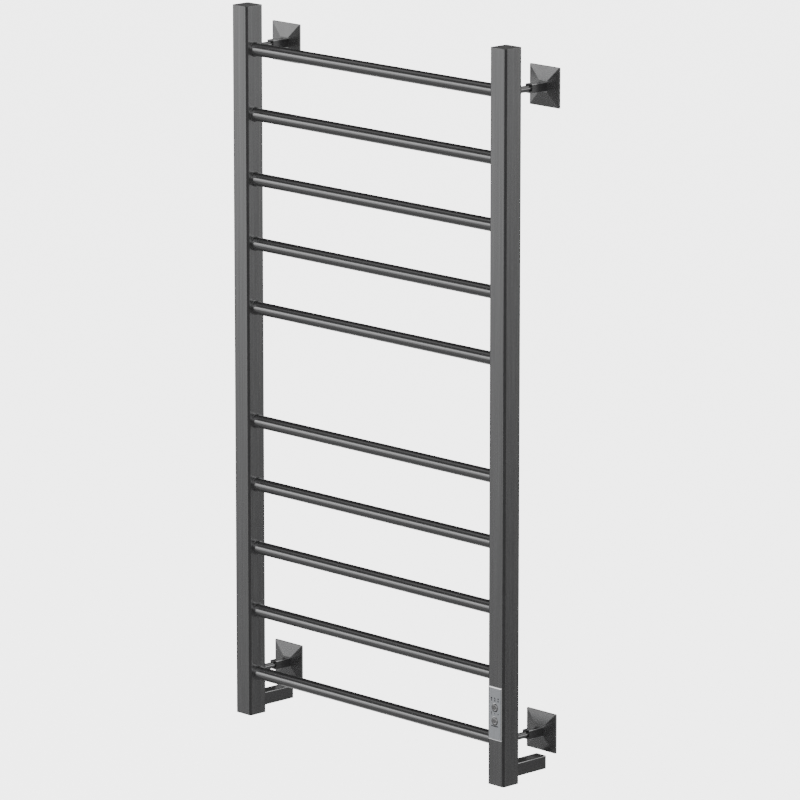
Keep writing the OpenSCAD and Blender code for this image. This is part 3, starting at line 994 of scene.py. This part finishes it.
@dataclass
class CableOutlet:
    """Square tube at the foot of a post with a plug or a cable bush in its open end.

    Attributes:
        side: left or right.
        wall: thickness of the tube.
        radius: of its long edges.
        lip: size of the broken edge round its end.
        inner_radius: of its long edges inside.
        cable_hole: diameter of the bush's hole.
        collar: diameter of the bush's collar.
    """

    side: str
    wall: float = 1.5
    radius: float = 1.3
    lip: float = 0.4
    inner_radius: float = 0.3
    cable_hole: float = 7.0
    collar: float = 10.5

    def build(self) -> None:
        """Makes the tube and what closes it."""
        node = f"outlet_{self.side}"
        low, high = box_mm(node)
        width = high[0] - low[0]
        hollow = width - 2 * self.wall
        centre = depth_line(low, high)
        levels = np.linspace(low[1], high[1] - 4, 6)
        middle = [Section(ring(width, width, self.radius), float(y)) for y in levels]
        outer = [*middle, *soft_edge(width, width, self.radius, high[1] - self.lip, high[1], self.lip)]
        inner = [Section(ring(hollow, hollow, self.inner_radius), y) for y in (high[1], low[1])]
        make_piece(f"{node}_tube", tube(outer, inner, Along.Y, centre), COAT_OUTLET, node)
        if self.side == "left":
            self.plug(centre)
        else:
            self.bush(centre)

    def plug(self, centre: Sequence[float]) -> None:
        """Blanking plug with a broken edge and a shallow dished face."""
        low, high = box_mm("blanking_plug")
        width = high[0] - low[0]
        sections = [
            Section(ring(width, width, self.inner_radius), low[1]),
            *soft_edge(width, width, 0.4, high[1] - 0.5, high[1], 0.5),
            Section(ring(width - 4, width - 4, 0.8), high[1]),
            *[Section(ring(width - 4 - d, width - 4 - d, 0.8), high[1] - d / 4) for d in (0.6, 1.2, 2.4)],
        ]
        make_piece("blanking_plug_cap", loft(sections, Along.Y, centre), BLACK_PLASTIC, "blanking_plug")

    def bush(self, centre: Sequence[float]) -> None:
        """Soft bush: a broken outer edge, a raised collar and a round hole for the cable."""
        low, high = box_mm("cable_grommet")
        width = high[0] - low[0]
        hole, collar = self.cable_hole, self.collar
        outer = [
            Section(ring(width, width, self.inner_radius), low[1]),
            *soft_edge(width, width, 0.4, high[1] - 1.0, high[1] - 0.6, 0.5),
            Section(circle(collar + 1), high[1] - 0.6), Section(circle(collar), high[1] - 0.3),
            Section(circle(collar - 0.6), high[1]), Section(circle(hole + 0.8), high[1]),
        ]
        inner = [Section(circle(hole), high[1] - 0.4), Section(circle(hole), low[1])]
        make_piece("cable_grommet_bush", tube(outer, inner, Along.Y, centre), RUBBER, "cable_grommet")


# ---- The control panel ----


# The strokes of each button's sign, as (right, up, width, height) from its middle.
BUTTONS = {
    "power_button": [(0.0, 1.3, 0.5, 2.0)],
    "timer_button": [(0.0, 0.55, 0.42, 1.5), (0.5, 0.0, 1.3, 0.42)],
}


@dataclass
class ControlPanel:
    """The panel on the right post, its two buttons, its marks and what lies behind it.

    Attributes:
        ink: thickness of a printed mark.
        slope: width of the bezel's bevel.
        rise: height of that bevel.
        lip: height of the lip along the bezel's foot.
        head: diameter of a button's head.
        stem: diameter of its stem.
        flange: diameter of the flange behind the head.
        gap: outside diameter of the dark ring round a button, painted shade of the gap between button and
            fascia.
        trim_width: outside diameter of the raised ring round that.
        pitch: distance between the columns of lamps and marks.
        lamp: diameter of a lamp.
    """

    ink: float = 0.04
    slope: float = 1.6
    rise: float = 0.42
    lip: float = 0.75
    head: float = 9.4
    stem: float = 4.0
    flange: float = 11.0
    gap: float = 10.7
    trim_width: float = 12.4
    pitch: float = 6.3
    lamp: float = 1.6

    def build(self) -> None:
        """Makes the bezel, the buttons and the marks, and dresses the rest."""
        self.bezel()
        for node in BUTTONS:
            self.button(node)
        self.marks()
        for node in BUTTONS:
            self.sign(node)
        for node, finish in {
            "panel_fascia": FASCIA, "panel_seal": RUBBER, "control_housing": BLACK_PLASTIC,
            "circuit_board": BOARD, "tact_switches": BLACK_PLASTIC, "indicator_lights": LIGHT_GUIDE,
            "power_relay": RELAY, "terminal_block": TERMINAL, "temperature_sensor": ZINC,
            "power_plunger": TERMINAL, "timer_plunger": TERMINAL,
        }.items():
            dress(node, finish)

    def bezel(self) -> None:
        """Frame with bevelled front edges, a recess that takes the fascia, and a drip lip along its foot."""
        low, high = box_mm("panel_bezel")
        face_low, face_high = box_mm("panel_fascia")
        width, height = high[0] - low[0], high[2] - low[2]
        inner_w, inner_h = face_high[0] - face_low[0] + 0.2, face_high[2] - face_low[2] + 0.2
        centre = depth_line(low, high)
        front_w, front_h = width - 2 * self.slope, height - 2 * self.slope
        recess = ring(inner_w, inner_h, 0.3)
        ledge = ring(inner_w - 3, inner_h - 6, 0.3)
        outer = [
            Section(ring(width, height, 0.5), high[1]),
            *soft_edge(width, height, 0.5, low[1] + self.rise + 0.35, low[1] + self.rise, 0.3),
            Section(ring(front_w, front_h, 0.4), low[1] + 0.02),
            Section(ring(front_w - 0.2, front_h - 0.2, 0.4), low[1]),
        ]
        inner = [
            Section(recess, low[1]), Section(recess, face_high[1]),
            Section(ledge, face_high[1]), Section(ledge, high[1]),
        ]
        wedge = [Section(ring(width - 1.0, h, 0.1) + (0.0, h / 2, 0.0), low[1] + y)
                 for y, h in ((self.rise, self.lip), (0.22, self.lip), (0.02, 0.1))]
        foot = loft(wedge, Along.Y, (centre[0], 0.0, low[2] + 0.3))
        whole = tube(outer, inner, Along.Y, centre).joined(foot)
        make_piece("panel_bezel_frame", whole, BEZEL_PLASTIC, "panel_bezel", crease=20.0)

    def button(self, node: str) -> None:
        """Turned button: a low crown inside a rolled rim, a flange behind the fascia and a stem.

        The crown falls away from its middle with the square of the diameter.
        """
        low, high = box_mm(node)
        centre = depth_line(low, high)
        flange = high[0] - low[0]
        back = box_mm("panel_fascia")[1][1] + 0.05
        front = low[1]
        crown = [(front + 0.06 + 0.08 * (d / 6.2) ** 2, d) for d in (0.02, 1.6, 3.2, 4.8, 6.2)]
        rim = [(front + 0.12, 6.7), (front + 0.03, 7.2), (front, 7.8), (front + 0.06, 8.4),
               (front + 0.25, 9.0), (front + 0.6, self.head)]
        body = [(back, self.head), (back, flange), (back + 0.8, flange), (back + 0.8, self.stem),
                (high[1], self.stem)]
        cap = loft(turned([*crown, *rim, *body]), Along.Y, centre)
        make_piece(f"{node}_cap", cap, BUTTON, node, crease=35.0)

    def marks(self) -> None:
        """Raised rings round the buttons, printed marks, and painted shade round the buttons.

        The marks are a ring round each upper lamp, a square under each upper lamp, and two dashes between
        the buttons. The dark ring round each button is painted shade of the gap between button and fascia.
        """
        face = box_mm("panel_fascia")[0][1]
        lights_low, lights_high = box_mm("indicator_lights")
        x = (lights_low[0] + lights_high[0]) / 2
        top = lights_high[2] - self.lamp / 2
        columns = [x - self.pitch, x, x + self.pitch]
        pads = [self.pad(column, top - 3.0, 2.1, 1.7, face) for column in columns]
        pads += [self.band(column, top, self.lamp + 0.3, self.lamp + 1.1, face) for column in columns]
        middle = [box_mm(node)[1][2] - self.flange / 2 for node in BUTTONS]
        row = sum(middle) / 2 + 0.9
        pads += [self.pad(columns[0], row + side * 1.5, 0.9, 1.3, face) for side in (-1, 1)]
        # Dark ring between each button's head and its raised trim: painted shade of the gap round the
        # button.
        pads += [self.band(x, z, self.head + 0.2, self.gap, face) for z in middle]
        make_piece("panel_print_and_gap_shade", pads[0].joined(*pads[1:]), INK_AND_GAP_SHADE, "panel_fascia", replaces=False)
        trims = [self.trim(x, z, face) for z in middle]
        make_piece("panel_button_trims", trims[0].joined(trims[1]), BUTTON, "panel_fascia", replaces=False)

    def sign(self, node: str) -> None:
        """Printed sign on a button: a ring and the button's strokes."""
        low, high = box_mm(node)
        x, _, z = depth_line(low, high)
        front = low[1] + 0.05
        strokes = [self.pad(x + a, z + b, width, height, front) for a, b, width, height in BUTTONS[node]]
        whole = self.band(x, z, 3.4, 4.3, front).joined(*strokes)
        make_piece(f"{node}_sign", whole, INK_AND_GAP_SHADE, node, replaces=False)

    def trim(self, x: float, z: float, face: float) -> Shape:
        """Raised ring round a button, with a shallow cone outside and a rolled edge inside."""
        profile = [
            (face + 0.03, self.trim_width), (face, self.trim_width),
            (face - 0.22, self.gap + 0.35), (face - 0.24, self.gap + 0.25), (face - 0.22, self.gap + 0.15),
            (face - 0.15, self.gap + 0.05), (face + 0.03, self.gap),
        ]
        return tube(turned(profile), [], Along.Y, (x, 0.0, z))

    def pad(self, x: float, z: float, width: float, height: float, face: float) -> Shape:
        """Thin rectangular mark with round corners that stands on a face."""
        outline = ring(width, height, 0.2)
        sections = [Section(outline, face + self.ink), Section(outline, face - self.ink)]
        return loft(sections, Along.Y, (x, 0.0, z))

    def band(self, x: float, z: float, inner: float, outer: float, face: float) -> Shape:
        """Thin round mark between two diameters."""
        out = [Section(circle(outer), face + self.ink), Section(circle(outer), face - self.ink)]
        back = [Section(circle(inner), face - self.ink), Section(circle(inner), face + self.ink)]
        return tube(out, back, Along.Y, (x, 0.0, z))


@dataclass
class HeatingCircuit:
    """The heating cable with its sealed end, and the screws and inserts that hold the rods."""

    def build(self) -> None:
        """Dresses the pieces, all carried over from the frame."""
        dress("heating_cable", CABLE)
        dress("cable_end_seal", RUBBER)
        dress("rod_inserts", ZINC)
        dress("grub_screws", BLACK_STEEL)


# ---- The studio ----


@dataclass(frozen=True)
class Panel:
    """A soft light: a rectangle that faces the rack.

    Attributes:
        name: light's name.
        place: its centre, in metres.
        size: width and height, in metres.
        power: in watts.
    """

    name: str
    place: tuple[float, float, float]
    size: tuple[float, float]
    power: float


@dataclass(frozen=True)
class Window:
    """A soft bright patch of the room around the rack, which its polished faces see.

    Attributes:
        around: (angle, brightness) pairs about the upright axis, in degrees from straight in front of the
            rack and positive to the right.
        up: (angle, brightness) pairs of the height above the horizon, in degrees.
        level: brightness of the whole patch.
    """

    around: tuple[tuple[float, float], ...]
    up: tuple[tuple[float, float], ...]
    level: float = 1.0


WINDOWS = (
    Window(((-110, 0), (-80, 0.55), (-62, 0.9), (-48, 1), (-40, 0.85), (-33, 0.12), (-24, 0)),
           ((-60, 0.08), (-37, 0.18), (-26, 0.27), (-16, 0.2), (-13, 0.34), (-11, 0.72), (-8, 0.95),
            (-2.5, 0.85), (4, 1.2), (11, 2.3), (15, 1.5), (20, 0.3), (26, 0.03), (45, 0))),
    Window(((95, 0), (115, 1), (155, 1), (175, 0)),
           ((-60, 0.25), (-35, 0.3), (-21, 0.22), (-16.5, 0.04), (-15, 0.05), (-12.5, 0.15), (-9, 0.43),
            (-4, 0.7), (3, 1), (7, 2.2), (13, 2), (18, 0.25), (40, 0))),
    Window(((-180, 1), (-165, 0.5), (-150, 0), (130, 0), (150, 1), (180, 1)),
           ((20, 0), (34, 1), (58, 1), (75, 0)), 0.8),
    Window(((-160, 0), (-145, 1), (-120, 1), (-105, 0)),
           ((-60, 0.3), (-30, 0.3), (-10, 0.25), (8, 0.16), (13, 0.06), (18, 0))),
    Window(((-25, 0), (-13, 1), (90, 1), (110, 0)),
           ((-60, 0.35), (-35, 0.35), (-20, 0.27), (-5, 0.27), (8, 0.45), (16, 1.1), (28, 1.3), (38, 0.6),
            (50, 0.2), (70, 0))),
    Window(((-180, 1), (-160, 1), (-140, 0), (145, 0), (165, 1), (180, 1)),
           ((-60, 0.3), (-30, 0.3), (-10, 0.3), (5, 0.5), (15, 0.4), (22, 0))),
    Window(((-140, 0), (-120, 1), (-95, 0.8), (-75, 0)), ((-60, 0), (-50, 0.5), (-38, 0.5), (-28, 0))),
    Window(((-105, 0), (-88, 1), (-75, 0.8), (-60, 0.4), (-45, 0)),
           ((30, 0), (40, 0.8), (50, 1), (65, 0)), 0.4),
    Window(((-180, 1), (180, 1)), ((-90, 0.4), (-60, 0.3), (-48, 0), (52, 0), (62, 0.5), (90, 0.8))),
)


@dataclass
class Studio:
    """Camera, floor and light.

    Attributes:
        azimuth: angle of the camera to the right of straight ahead, in degrees.
        elevation: its angle above the horizon, in degrees.
        distance: from the point it looks at, in metres.
        aim: that point.
        lens: focal length in millimetres on a 36 mm sensor.
        floor_drop: height of the floor below the rack, in metres.
        floor_reach: how far it goes on each side, in metres.
        panels: the soft lights.
        windows: the bright patches of the room.
        dimness: brightness of the rest of the room, as polished faces see it.
    """

    azimuth: float = 46.07
    elevation: float = 12.58
    distance: float = 8.267
    aim: tuple[float, float, float] = (0.0253, -0.05, -0.0124)
    lens: float = 274.9
    floor_drop: float = 0.5
    floor_reach: float = 30.0
    panels: tuple[Panel, ...] = (
        Panel("key", (-2.6, -2.6, 1.8), (2.2, 1.6), 60.0),
    )
    windows: tuple[Window, ...] = WINDOWS
    dimness: float = 0.04

    def build(self) -> None:
        """Sets up everything that isn't the rack."""
        self.camera()
        self.floor()
        self.surroundings()
        for panel in self.panels:
            self.light(panel)

    def camera(self) -> None:
        """Camera on a long lens, level across and turned down to the rack."""
        a, e = np.radians(self.azimuth), np.radians(self.elevation)
        back = np.array([np.sin(a) * np.cos(e), -np.cos(a) * np.cos(e), np.sin(e)])
        data = bpy.data.cameras.new("camera")
        data.lens = self.lens
        data.sensor_width = 36.0
        data.clip_end = 100.0
        camera = bpy.data.objects.new("camera", data)
        camera.location = (np.array(self.aim) + back * self.distance).tolist()
        camera.rotation_euler = (np.pi / 2 - e, 0.0, a)
        bpy.context.scene.collection.objects.link(camera)
        bpy.context.scene.camera = camera

    def floor(self) -> None:
        """Plain pale floor well below the rack."""
        low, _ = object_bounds()
        level = low[2] - self.floor_drop
        signs = ((-1, -1), (1, -1), (1, 1), (-1, 1))
        corners = [(a * self.floor_reach, b * self.floor_reach, level) for a, b in signs]
        mesh = bpy.data.meshes.new("floor")
        mesh.from_pydata(corners, [], [(0, 1, 2, 3)])
        material = bpy.data.materials.new("floor_pale")
        material.use_nodes = True
        graph = Graph(material.node_tree)
        shader = graph.add("BsdfPrincipled", {
            "Base Color": (0.92, 0.92, 0.92, 1.0), "Roughness": 0.9, "Specular IOR Level": 0.0,
            "Emission Color": (1.0, 1.0, 1.0, 1.0), "Emission Strength": 3.4,
        })
        graph.add("OutputMaterial", {"Surface": shader.outputs[0]})
        mesh.materials.append(material)
        floor = bpy.data.objects.new("floor", mesh)
        floor.visible_glossy = False
        floor.visible_diffuse = False
        bpy.context.scene.collection.objects.link(floor)
        floor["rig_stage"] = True

    def ramp(self, graph: Graph, angle: bpy.types.NodeSocket, turn: float,
             stops: tuple[tuple[float, float], ...]) -> bpy.types.NodeSocket:
        """Brightness along an angle, eased from stop to stop.

        Args:
            graph: the world's nodes.
            angle: in radians.
            turn: the angle's whole span, in degrees, with zero in its middle.
            stops: (degrees, brightness) pairs in rising order.

        Returns:
            The brightness.
        """
        span = np.radians(turn)
        share = graph.add("MapRange", {0: angle, 1: -span / 2, 2: span / 2}).outputs[0]
        node = graph.add("ValToRGB", {"Fac": share})
        node.color_ramp.interpolation = "EASE"
        elements = node.color_ramp.elements
        for element, (degrees, level) in ((elements[0], stops[0]), (elements[1], stops[-1])):
            element.position = 0.5 + degrees / turn
            element.color = (level, level, level, 1.0)
        for degrees, level in stops[1:-1]:
            elements.new(0.5 + degrees / turn).color = (level, level, level, 1.0)
        return node.outputs["Color"]

    def surroundings(self) -> None:
        """Plain white room for what is matt; polished faces see a dim room with soft windows.

        A window's brightness is the product of its two ramps, on the direction's turn about the upright
        axis and on its height above the horizon.
        """
        world = bpy.data.worlds.new("studio")
        world.use_nodes = True
        bpy.context.scene.world = world
        graph = Graph(world.node_tree)
        ray = graph.add("SeparateXYZ", {0: graph.add("TexCoord").outputs["Generated"]})
        around = graph.maths("ARCTAN2", ray.outputs["X"], graph.maths("MULTIPLY", ray.outputs["Y"], -1.0))
        up = graph.maths("ARCSINE", ray.outputs["Z"], 0.0)
        total: object = self.dimness
        for window in self.windows:
            across = graph.maths("MULTIPLY", self.ramp(graph, around, 360.0, window.around), window.level)
            share = graph.maths("MULTIPLY", across, self.ramp(graph, up, 180.0, window.up))
            total = graph.maths("ADD", share, total)
        path = graph.add("LightPath")
        plain = graph.maths("MAXIMUM", path.outputs["Is Camera Ray"], path.outputs["Is Diffuse Ray"])
        strength = graph.add("Mix", {0: plain, 2: total, 3: 1.0}, data_type="FLOAT")
        shine = graph.add("Background", {"Color": (1.0, 1.0, 1.0, 1.0), "Strength": strength.outputs[0]})
        graph.add("OutputWorld", {"Surface": shine.outputs[0]})

    def light(self, panel: Panel) -> None:
        """Adds one soft light that faces the rack's middle."""
        data = bpy.data.lights.new(panel.name, "AREA")
        data.shape = "RECTANGLE"
        data.size, data.size_y = panel.size
        data.energy = panel.power
        lamp = bpy.data.objects.new(panel.name, data)
        place = np.array(panel.place)
        away = place / np.linalg.norm(place)
        lamp.visible_glossy = False
        lamp.location = panel.place
        lamp.rotation_euler = (np.arccos(away[2]), 0.0, np.arctan2(away[0], -away[1]))
        bpy.context.scene.collection.objects.link(lamp)


def main() -> None:
    """Builds the studio and every sub-assembly in order."""
    logging.basicConfig(level=logging.INFO, format="%(name)s: %(message)s")
    bpy.context.view_layer.update()
    Studio().build()
    for side in ("left", "right"):
        Post(side).build()
        CableOutlet(side).build()
    for number in range(1, 11):
        Rung(number).build()
    for corner in ("top_left", "top_right", "bottom_left", "bottom_right"):
        WallBracket(corner).build()
    ControlPanel().build()
    HeatingCircuit().build()
    bpy.context.view_layer.update()


if __name__ == "__main__":
    main()
